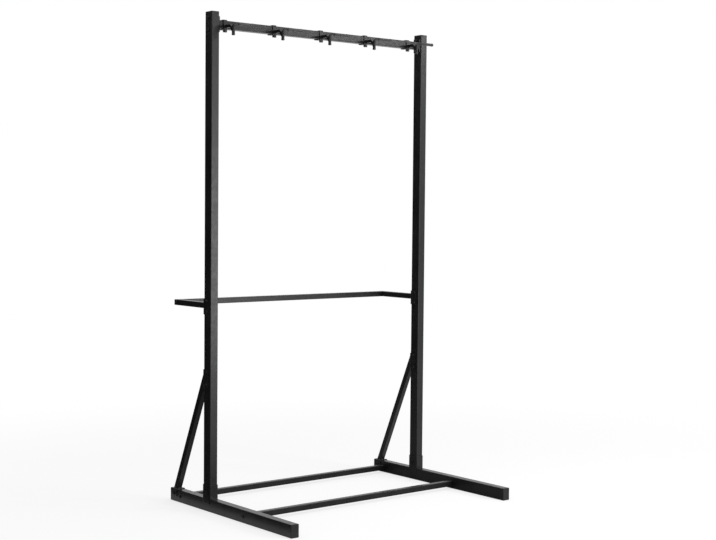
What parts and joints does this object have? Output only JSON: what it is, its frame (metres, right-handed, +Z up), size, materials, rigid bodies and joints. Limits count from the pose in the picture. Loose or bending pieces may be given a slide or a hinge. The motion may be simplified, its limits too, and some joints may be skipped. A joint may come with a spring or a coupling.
{
  "type": "vertical bike rack",
  "caption": "Free-standing black steel rack that hangs bicycles upright by one wheel from sliding, swivelling hooks on a top bar, with a lower bar for the other wheel.",
  "frame": {"origin": "on the floor, midway between the two feet and midway along them", "axes": "+X across the rack towards the tips of the pegs, +Y towards the wheel bar at the back, +Z up"},
  "size_m": [1.2374, 0.909, 2.134],
  "materials": {
    "black_coat": "satin black powder coat",
    "black_fastener": "black oxide",
    "cap_plastic": "matte black",
    "grip_rubber": "soft black vinyl"
  },
  "bodies": {
    "frame": {"bar_bolts": "black_fastener", "bar_plugs": "black_fastener", "foot_caps": "cap_plastic", "frame_bolts": "black_fastener", "frame_nuts": "black_fastener", "front_floor_bar": "black_coat", "left_brace": "black_coat", "left_brace_lower_bracket": "black_coat", "left_brace_upper_bracket": "black_coat", "left_foot": "black_coat", "left_socket": "black_coat", "left_top_bar_end_plate": "black_coat", "left_upright": "black_coat", "left_wheel_arm": "black_coat", "left_wheel_arm_bracket": "black_coat", "rear_floor_bar": "black_coat", "right_brace": "black_coat", "right_brace_lower_bracket": "black_coat", "right_brace_upper_bracket": "black_coat", "right_foot": "black_coat", "right_socket": "black_coat", "right_top_bar_end_plate": "black_coat", "right_upright": "black_coat", "right_wheel_arm": "black_coat", "right_wheel_arm_bracket": "black_coat", "top_bar": "black_coat", "upright_caps": "cap_plastic", "wheel_arm_caps": "cap_plastic", "wheel_bar": "black_coat"},
    "hook_1_clamp": {"hook_1_arm": "black_coat", "hook_1_keeper": "black_coat", "hook_1_clamp_bolt": "black_fastener"},
    "hook_1_swivel": {"hook_1_peg": "black_coat", "hook_1_grip": "grip_rubber", "hook_1_retainer": "black_fastener"},
    "hook_2_clamp": {"hook_2_arm": "black_coat", "hook_2_keeper": "black_coat", "hook_2_clamp_bolt": "black_fastener"},
    "hook_2_swivel": {"hook_2_peg": "black_coat", "hook_2_grip": "grip_rubber", "hook_2_retainer": "black_fastener"},
    "hook_3_clamp": {"hook_3_arm": "black_coat", "hook_3_keeper": "black_coat", "hook_3_clamp_bolt": "black_fastener"},
    "hook_3_swivel": {"hook_3_peg": "black_coat", "hook_3_grip": "grip_rubber", "hook_3_retainer": "black_fastener"},
    "hook_4_clamp": {"hook_4_arm": "black_coat", "hook_4_keeper": "black_coat", "hook_4_clamp_bolt": "black_fastener"},
    "hook_4_swivel": {"hook_4_peg": "black_coat", "hook_4_grip": "grip_rubber", "hook_4_retainer": "black_fastener"},
    "hook_5_clamp": {"hook_5_arm": "black_coat", "hook_5_keeper": "black_coat", "hook_5_clamp_bolt": "black_fastener"},
    "hook_5_swivel": {"hook_5_peg": "black_coat", "hook_5_grip": "grip_rubber", "hook_5_retainer": "black_fastener"}
  },
  "joints": [
    {"name": "hook_1_slide", "type": "slide", "parent": "frame", "child": "hook_1_clamp", "axis": [1, 0, 0], "range_m": [-0.005, 0.05]},
    {"name": "hook_1_turn", "type": "hinge", "parent": "hook_1_clamp", "child": "hook_1_swivel", "pos_m": [-0.53725, 0.078, 2.082], "axis": [0, 0, 1], "range_deg": [-90, 0]},
    {"name": "hook_2_slide", "type": "slide", "parent": "frame", "child": "hook_2_clamp", "axis": [1, 0, 0], "range_m": [-0.05, 0.05]},
    {"name": "hook_2_turn", "type": "hinge", "parent": "hook_2_clamp", "child": "hook_2_swivel", "pos_m": [-0.27987, 0.078, 2.082], "axis": [0, 0, 1], "range_deg": [-90, 0]},
    {"name": "hook_3_slide", "type": "slide", "parent": "frame", "child": "hook_3_clamp", "axis": [1, 0, 0], "range_m": [-0.05, 0.05]},
    {"name": "hook_3_turn", "type": "hinge", "parent": "hook_3_clamp", "child": "hook_3_swivel", "pos_m": [-0.0225, 0.078, 2.082], "axis": [0, 0, 1], "range_deg": [-90, 0]},
    {"name": "hook_4_slide", "type": "slide", "parent": "frame", "child": "hook_4_clamp", "axis": [1, 0, 0], "range_m": [-0.05, 0.05]},
    {"name": "hook_4_turn", "type": "hinge", "parent": "hook_4_clamp", "child": "hook_4_swivel", "pos_m": [0.23488, 0.078, 2.082], "axis": [0, 0, 1], "range_deg": [-90, 0]},
    {"name": "hook_5_slide", "type": "slide", "parent": "frame", "child": "hook_5_clamp", "axis": [1, 0, 0], "range_m": [-0.05, 0.05]},
    {"name": "hook_5_turn", "type": "hinge", "parent": "hook_5_clamp", "child": "hook_5_swivel", "pos_m": [0.49225, 0.078, 2.082], "axis": [0, 0, 1], "range_deg": [-90, 0]}
  ]
}
